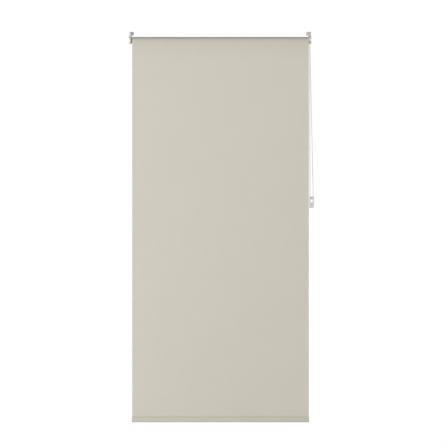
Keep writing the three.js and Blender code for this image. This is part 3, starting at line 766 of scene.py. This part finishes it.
def hemLine():
    # down the front from the panel, round the bar, and up behind the panel
    size = hemSize
    low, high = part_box("hem_pocket")
    panelLow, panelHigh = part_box("fabric_panel")
    half = size["thickness"] / 2
    front, back = low.y + half, high.y - half
    radius = (high.y - low.y) / 2 - half
    middle = (low.y + high.y) / 2
    neckY = (panelLow.y + panelHigh.y) / 2
    line = [(neckY, high.z + size["lap"])]
    shoulder = high.z - half - radius
    for step in range(1, size["roundSteps"] + 1):
        share = step / size["roundSteps"]
        eased = share * share * (3 - 2 * share)
        line.append((neckY + (front - neckY) * eased, high.z - size["neck"] * share))
    bottom = low.z + half + radius
    for step in range(size["roundSteps"] + 1):
        angle = math.pi * (1 + step / size["roundSteps"])
        line.append((middle + radius * math.cos(angle), bottom + radius * math.sin(angle)))
    line.append((back, shoulder))
    turnBack = neckY + panelSize["thickness"] / 2 + size["thickness"] / 2
    for step in range(1, size["roundSteps"] + 1):
        angle = math.pi / 2 * step / size["roundSteps"]
        y = turnBack + (back - turnBack) * math.cos(angle)
        line.append((y, shoulder + (high.z - shoulder) * math.sin(angle)))
    line.append((turnBack, high.z + size["tail"]))
    return line


def addCloth():
    strip = clothStripTree()
    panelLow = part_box("fabric_panel")[0]
    panel = addPanel()
    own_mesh(panel)
    roll = addStrip("cloth_roll", "roller", rollLine(), rollSize["thickness"], 0.0, -1,
                    "fabric_roll", strip)
    hem = addStrip("cloth_hem", "bottom_rail", hemLine(), hemSize["thickness"],
                   -panelLow.z, 1, "hem_pocket", strip)
    return panel, roll, hem


weldSize = {
    "rib": 0.45 * mm,         # width of one pressed rib
    "height": 2.6 * mm,
    "proud": 0.24 * mm,
    "gap": 0.02 * mm,         # so that the ribs never cut the panel's face
    "spacing": 1.3 * mm,
    "inset": 1.5 * mm,        # from the cloth's side edges
    "aboveHem": 2.2 * mm,     # middle of the weld over the top of the hem
}


def weldTree():
    tree, given = newGrower("pressedWeld", {
        "Rib Width": "Float", "Rib Height": "Float", "Rib Depth": "Float",
        "Rib Spacing": "Float", "Material": "Material"})
    line = addNode(tree, "GeometryNodeMeshToCurve", {"Mesh": given["Geometry"]}).outputs[0]
    places = addNode(tree, "GeometryNodeCurveToPoints", {
        "Curve": line, "Length": given["Rib Spacing"]}, mode="LENGTH").outputs["Points"]
    # a low eight-sided pad stands for each rib that the welder's horn leaves
    pad = addNode(tree, "GeometryNodeMeshUVSphere", {
        "Segments": 8, "Rings": 4, "Radius": 0.5}).outputs[0]
    size = addNode(tree, "ShaderNodeCombineXYZ", {
        "X": given["Rib Width"], "Y": given["Rib Depth"], "Z": given["Rib Height"]}).outputs[0]
    rib = addNode(tree, "GeometryNodeTransform", {"Geometry": pad, "Scale": size}).outputs[0]
    ribs = addNode(tree, "GeometryNodeInstanceOnPoints", {
        "Points": places, "Instance": rib}).outputs[0]
    endGrower(tree, ribs, given)
    return tree


def addWeld():
    # the row of ribs pressed through both layers where the hem is closed
    size = weldSize
    low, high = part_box("fabric_panel")
    z = low.z + size["aboveHem"]
    y = low.y - size["gap"] - size["proud"] / 2
    ends = [(low.x + size["inset"], y, z), (high.x - size["inset"], y, z)]
    seed = newPiece("weldLine", meshOf("weldLine", ends, edges=[(0, 1)]))
    piece = grown(seed, weldTree(), {
        "Rib Width": size["rib"], "Rib Height": size["height"],
        "Rib Depth": size["proud"], "Rib Spacing": size["spacing"], "Material": weld},
        "hem_weld")
    finish(piece, "bottom_rail", weld)
    return piece


panel, roll, hem = addCloth()
seam = addWeld()
print("cloth hung")


# CAD nodes that stay as they are, each with its real finish
keptLooks = {
    "clutch_hub": greyNylon,
    "clutch_retaining_screw": zinc,
    "clutch_crown": blackNylon,
    "idle_plug_cap": blackNylon,
    "inner_wrap_spring": springWire,
    "outer_wrap_spring": springWire,
    "adhesive_strip": tissue,
}
for nodeName, look in keptLooks.items():
    kept = nodes[nodeName]
    if not kept.material_slots:
        kept.data.materials.append(look)
    for place in kept.material_slots:
        place.material = look
print("inner parts finished:", len(keptLooks))


# the spring behind the sprung pin, which closes up as the pin is pressed in
returnSpring = {
    "wire": 0.6 * mm,
    "turns": 7,
    "endTurns": 0.8,          # dead turn at each end, where the coils lie side by side
    "loose": 1.03,            # their pitch, in wires
    "stepsPerTurn": 28,
    "sides": 10,
    "crisp": 50,              # degrees: only the wire's cut ends are sharper than this
}


def springTree():
    tree, given = newGrower("wireOnCoil", {
        "Wire Radius": "Float", "Wire Sides": "Int", "Material": "Material"})
    line = addNode(tree, "GeometryNodeMeshToCurve", {"Mesh": given["Geometry"]}).outputs[0]
    section = addNode(tree, "GeometryNodeCurvePrimitiveCircle", {
        "Resolution": given["Wire Sides"], "Radius": given["Wire Radius"]}).outputs[0]
    wire = addNode(tree, "GeometryNodeCurveToMesh", {
        "Curve": line, "Profile Curve": section, "Fill Caps": True}).outputs[0]
    endGrower(tree, wire, given)
    return tree


def springAdvance(turn):
    # how far along the spring the wire has come: dead turns lie side by side at both ends
    size = returnSpring
    low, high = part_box("idle_spring")
    dead = size["endTurns"]
    pitch = size["wire"] * size["loose"]
    run = high.x - low.x - size["wire"] - 2 * dead * pitch
    live = min(1, max(0, (turn - dead) / (size["turns"] - 2 * dead)))
    past = max(0, turn - (size["turns"] - dead))
    return pitch * (min(turn, dead) + past) + run * live


def addReturnSpring():
    size = returnSpring
    low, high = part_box("idle_spring")
    half = size["wire"] / 2
    middle = (low + high) / 2
    radius = (high.z - low.z) / 2 - half
    steps = size["turns"] * size["stepsPerTurn"]
    points = []
    for step in range(steps + 1):
        turn = step / size["stepsPerTurn"]
        angle = 2 * math.pi * turn
        points.append((
            low.x + half + springAdvance(turn),
            middle.y + radius * math.cos(angle), middle.z + radius * math.sin(angle)))
    edges = [(i, i + 1) for i in range(steps)]
    seed = newPiece("springLine", meshOf("springLine", points, edges=edges))
    piece = grown(seed, springTree(), {
        "Wire Radius": half, "Wire Sides": size["sides"], "Material": springWire},
        "return_spring")
    smoothByAngle(piece.data, size["crisp"])
    finish(piece, "roller", springWire, ["idle_spring"])
    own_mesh(piece)


addReturnSpring()
print("return spring wound")


# hard parts: node, piece, body, slot, finish, and how far edges and rim are eased, in mm
hardParts = [
    ("left_bracket", "left_bracket_plate", "fixings", "powder_coat", powderCoat, 0.35, 0.0),
    ("right_bracket", "right_bracket_plate", "fixings", "powder_coat", powderCoat, 0.35, 0.0),
    ("left_bracket_cover", "left_cover", "fixings", "white_plastic", whiteAbs, 0.45, 1.0),
    ("right_bracket_cover", "right_cover", "fixings", "white_plastic", whiteAbs, 0.45, 1.0),
    ("chain_guard", "guard_over_chain", "fixings", "white_plastic", whiteAbs, 0.25, 0.0),
    ("tensioner_back", "tensioner_base", "fixings", "white_plastic", whiteAbs, 0.3, 0.0),
    ("tensioner_cover", "tensioner_shell", "fixings", "clear_plastic", milkyPolycarbonate,
     0.4, 0.0),
    ("tensioner_wheel", "grooved_wheel", "tensioner_wheel", "grey_plastic", greyNylon, 0.12, 0.0),
    ("chain_sprocket", "pocketed_sprocket", "sprocket", "grey_plastic", greyNylon, 0.0, 0.0),
    ("roller_tube", "tube", "roller", "tube_aluminium", aluminium, 0.0, 0.0),
    ("idle_plug", "tube_end_plug", "roller", "black_plastic", blackNylon, 0.25, 0.0),
    ("idle_pin", "sprung_pin", "idle_pin", "zinc_steel", zinc, 0.2, 0.0),
    ("bottom_bar", "weight_bar", "bottom_rail", "tube_aluminium", aluminium, 0.0, 0.0),
    ("bottom_bar_left_cap", "left_bar_cap", "bottom_rail", "white_plastic", whiteAbs, 0.4, 0.8),
    ("bottom_bar_right_cap", "right_bar_cap", "bottom_rail", "white_plastic", whiteAbs, 0.4, 0.8),
]
for nodeName, pieceName, body, slotName, look, edge, rim in hardParts:
    part = finishedCopy(nodeName, pieceName, edge * mm, rim * mm)
    finish(part, body, look, [nodeName])
print("hard parts finished:", len(hardParts))


# cross-head wood screws, driven through the flange holes
screwSize = {
    "headRadius": 3.7 * mm,
    "headHeight": 2.3 * mm,
    "flatRadius": 1.7 * mm,
    "crossReach": 2.1 * mm,
    "crossWidth": 0.85 * mm,
    "crossDepth": 1.35 * mm,
    "shankRadius": 1.95 * mm,
    "threadDepth": 0.5 * mm,
    "threadPitch": 1.7 * mm,
    "threadThick": 0.32 * mm,
    "plain": 3.0 * mm,         # shank without thread under the head
    "tip": 4.0 * mm,
    "crossNarrows": 0.45,      # share of the cross's reach and width left at its bottom
    "crossThins": 0.8,
    "domeSteps": 8,
    "headSides": 32,
    "shankSides": 16,
    "threadSides": 4,
    "stepsPerTurn": 16,
}


def screwHead():
    # a domed head with a cross sunk in it, its seat at the origin and its top towards -Y
    size = screwSize
    profile = [(0.0, -size["headHeight"]), (size["flatRadius"], -size["headHeight"])]
    for step in range(1, size["domeSteps"] + 1):
        angle = math.pi / 2 * step / size["domeSteps"]
        profile.append((
            size["flatRadius"] + (size["headRadius"] - size["flatRadius"]) * math.sin(angle),
            -size["headHeight"] * math.cos(angle)))
    profile.append((size["shankRadius"] - size["threadDepth"], 0.0))
    profile.append((0.0, 0.0))
    work = bmesh.new()
    line = [work.verts.new((r, y, 0)) for r, y in profile]
    edges = [work.edges.new(pair) for pair in zip(line, line[1:])]
    bmesh.ops.spin(work, geom=line + edges, cent=(0, 0, 0), axis=(0, 1, 0),
                   angle=2 * math.pi, steps=size["headSides"], use_merge=True)
    bmesh.ops.remove_doubles(work, verts=work.verts, dist=facets["merge"])
    bmesh.ops.recalc_face_normals(work, faces=work.faces)
    mesh = bpy.data.meshes.new("screwHead")
    work.to_mesh(mesh)
    work.free()
    head = newPiece("screwHeadWhole", mesh)
    cross = bmesh.new()
    for turned in (0, 90):
        arm = bmesh.ops.create_cube(cross, size=1)["verts"]
        for vertex in arm:
            deep = vertex.co.y > 0
            vertex.co.x *= 2 * size["crossReach"] * (size["crossNarrows"] if deep else 1)
            vertex.co.z *= size["crossWidth"] * (size["crossThins"] if deep else 1)
            # the cutter's other end stands 1 mm clear of the head's top
            vertex.co.y = -size["headHeight"] + (size["crossDepth"] if deep else -mm)
        bmesh.ops.rotate(cross, verts=arm, matrix=Matrix.Rotation(math.radians(turned), 3, "Y"))
    cutterMesh = bpy.data.meshes.new("screwCross")
    cross.to_mesh(cutterMesh)
    cross.free()
    cutter = newPiece("screwCross", cutterMesh)
    cut = head.modifiers.new("cross", "BOOLEAN")
    cut.object = cutter
    cut.solver = "EXACT"
    cut.use_self = True
    cutHead = baked(head, "screwHead")
    bpy.data.objects.remove(cutter)
    return cutHead


def screwTree():
    tree, given = newGrower("woodScrews", {
        "Shank Length": "Float", "Shank Radius": "Float", "Thread Depth": "Float",
        "Thread Pitch": "Float", "Thread Thickness": "Float", "Plain Shank": "Float",
        "Tip": "Float", "Head": "Object", "Material": "Material"})
    # lengths and radii that follow from the sizes given
    body = addNode(tree, "ShaderNodeMath", {
        0: given["Shank Length"], 1: given["Tip"]}, operation="SUBTRACT").outputs[0]
    threaded = addNode(tree, "ShaderNodeMath", {
        0: body, 1: given["Plain Shank"]}, operation="SUBTRACT").outputs[0]
    turns = addNode(tree, "ShaderNodeMath", {
        0: threaded, 1: given["Thread Pitch"]}, operation="DIVIDE").outputs[0]
    core = addNode(tree, "ShaderNodeMath", {
        0: given["Shank Radius"], 1: given["Thread Depth"]}, operation="SUBTRACT").outputs[0]
    middle = addNode(tree, "ShaderNodeMath", {
        0: given["Shank Radius"], 1: given["Thread Thickness"]}, operation="SUBTRACT").outputs[0]
    halfBody = addNode(tree, "ShaderNodeMath", {0: body, 1: 0.5}, operation="MULTIPLY").outputs[0]
    # core, tip and thread are drawn along Z and then laid along Y
    shank = addNode(tree, "GeometryNodeMeshCylinder", {
        "Vertices": screwSize["shankSides"], "Radius": core, "Depth": body}).outputs[0]
    point = addNode(tree, "GeometryNodeMeshCone", {
        "Vertices": screwSize["shankSides"], "Radius Top": 0.0, "Radius Bottom": core,
        "Depth": given["Tip"]}).outputs[0]
    helix = addNode(tree, "GeometryNodeCurveSpiral", {
        "Resolution": screwSize["stepsPerTurn"], "Rotations": turns, "Start Radius": middle,
        "End Radius": middle, "Height": threaded}).outputs[0]
    section = addNode(tree, "GeometryNodeCurvePrimitiveCircle", {
        "Resolution": screwSize["threadSides"], "Radius": given["Thread Thickness"]}).outputs[0]
    thread = addNode(tree, "GeometryNodeCurveToMesh", {
        "Curve": helix, "Profile Curve": section, "Fill Caps": True}).outputs[0]
    raisedParts = []
    for shape, height in ((shank, halfBody), (point, body), (thread, given["Plain Shank"])):
        lift = addNode(tree, "ShaderNodeCombineXYZ", {"Z": height}).outputs[0]
        raisedParts.append(addNode(tree, "GeometryNodeTransform", {
            "Geometry": shape, "Translation": lift}).outputs[0])
    upright = addNode(tree, "GeometryNodeJoinGeometry", {"Geometry": raisedParts}).outputs[0]
    laid = addNode(tree, "GeometryNodeTransform", {
        "Geometry": upright, "Rotation": (math.radians(-90), 0.0, 0.0)}).outputs[0]
    head = addNode(tree, "GeometryNodeObjectInfo", {"Object": given["Head"]}).outputs["Geometry"]
    whole = addNode(tree, "GeometryNodeJoinGeometry", {"Geometry": [laid, head]}).outputs[0]
    points = addNode(tree, "GeometryNodeMeshToPoints", {"Mesh": given["Geometry"]}).outputs[0]
    placed = addNode(tree, "GeometryNodeInstanceOnPoints", {
        "Points": points, "Instance": whole}).outputs[0]
    endGrower(tree, placed, given)
    return tree


def addScrews(name, replaced, tree, head):
    # a screw's seat is where its CAD node's head meets the flange
    seats = []
    for node in replaced:
        low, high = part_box(node)
        seats.append(((low.x + high.x) / 2, low.y + screwSize["headHeight"],
                      (low.z + high.z) / 2))
    length = high.y - seats[-1][1]
    seed = newPiece(name + "_seats", meshOf(name + "_seats", seats))
    piece = grown(seed, tree, {
        "Shank Length": length, "Shank Radius": screwSize["shankRadius"],
        "Thread Depth": screwSize["threadDepth"], "Thread Pitch": screwSize["threadPitch"],
        "Thread Thickness": screwSize["threadThick"],
        "Plain Shank": screwSize["plain"], "Tip": screwSize["tip"], "Head": head,
        "Material": zinc}, name)
    smoothByAngle(piece.data)
    finish(piece, "fixings", zinc, replaced)


def addAllScrews():
    tree, head = screwTree(), screwHead()
    addScrews("bracket_screws", [
        "left_upper_screw", "left_lower_screw", "right_upper_screw", "right_lower_screw"],
        tree, head)
    addScrews("tensioner_screws", ["tensioner_upper_screw", "tensioner_lower_screw"], tree, head)
    bpy.data.objects.remove(head)


addAllScrews()
print("screws driven")


# pale floor, soft lights and a white surround
room = {
    "floorDrop": -2.75,
    "floorRadius": 8.0,
    "floorSides": 96,
    "plainRadius": 1.2,      # from here out the floor brightens into the surround
    "horizon": 1.02,         # brightness of the surround near eye level
    "overhead": 0.42,        # and overhead and underfoot
    "fade": (0.26, 0.62),    # the one fades into the other here: 0 is level, 1 straight up
    "clothMiddle": Vector((0, -0.03, -0.93)),
}
lights = {
    # place, size in metres, watts; each is aimed at the middle of the cloth
    "keyLight": ((-3.2, -3.6, -1.4), 2.0, 78),
    "fillLight": ((3.4, -9.0, -1.5), 2.2, 30),
    "backLight": ((2.5, 9.5, 0.2), 4.0, 130),
}


def addFloor():
    work = bmesh.new()
    bmesh.ops.create_circle(
        work, cap_ends=True, radius=room["floorRadius"], segments=room["floorSides"])
    mesh = bpy.data.meshes.new("floor")
    work.to_mesh(mesh)
    work.free()
    mesh.transform(Matrix.Translation((0, 0, room["floorDrop"])))
    floor = newPiece("floor", mesh)
    # matt wall paint on board, near white, with the fine stipple that a paint roller leaves
    look, tree, shader = newMaterial("rolledEmulsion", **{"Roughness": 0.85})
    stipple = grainOf(tree, 3 * mm)
    toned(tree, shader, stipple, "#F2F2F1", "#F6F6F5")
    # towards its edge it glows as bright as the surround, so no edge line shows
    place = addNode(tree, "ShaderNodeTexCoord").outputs["Object"]
    level = addNode(tree, "ShaderNodeVectorMath", {0: place, 1: (1, 1, 0)}, operation="MULTIPLY")
    distance = addNode(tree, "ShaderNodeVectorMath", {
        0: level.outputs[0]}, operation="LENGTH").outputs["Value"]
    outward = addNode(tree, "ShaderNodeMapRange", {
        "Value": distance, "From Min": room["plainRadius"], "From Max": room["floorRadius"]},
        interpolation_type="SMOOTHSTEP").outputs[0]
    glow = addNode(tree, "ShaderNodeEmission", {
        "Color": linear("#FFFFFF"), "Strength": room["horizon"]}).outputs[0]
    mixed = addNode(tree, "ShaderNodeMixShader", {
        0: outward, 1: shader.outputs[0], 2: glow}).outputs[0]
    ending = next(node for node in tree.nodes if node.type == "OUTPUT_MATERIAL")
    tree.links.new(mixed, ending.inputs["Surface"])
    mesh.materials.append(look)


def addSurround():
    world = bpy.data.worlds.new("softSurround")
    world.use_nodes = True
    tree = world.node_tree
    tree.nodes.clear()
    way = addNode(tree, "ShaderNodeTexCoord").outputs["Generated"]
    height = addNode(tree, "ShaderNodeSeparateXYZ", {0: way}).outputs[2]
    steep = addNode(tree, "ShaderNodeMath", {0: height}, operation="ABSOLUTE").outputs[0]
    strength = addNode(tree, "ShaderNodeMapRange", {
        "Value": steep, "From Min": room["fade"][0], "From Max": room["fade"][1],
        "To Min": room["horizon"], "To Max": room["overhead"]}, interpolation_type="SMOOTHSTEP")
    glow = addNode(tree, "ShaderNodeBackground", {
        "Color": linear("#FFFFFF"), "Strength": strength.outputs[0]})
    addNode(tree, "ShaderNodeOutputWorld", {"Surface": glow.outputs[0]})
    scene.world = world


def addLights():
    for name, (place, size, watts) in lights.items():
        data = bpy.data.lights.new(name, "AREA")
        data.energy = watts
        data.size = size
        lamp = bpy.data.objects.new(name, data)
        lamp.location = place
        aim = room["clothMiddle"] - Vector(place)
        lamp.rotation_euler = aim.to_track_quat("-Z", "Y").to_euler()
        lamp.visible_camera = False
        scene.collection.objects.link(lamp)


addFloor()
addSurround()
addLights()
print("floor and lights placed")
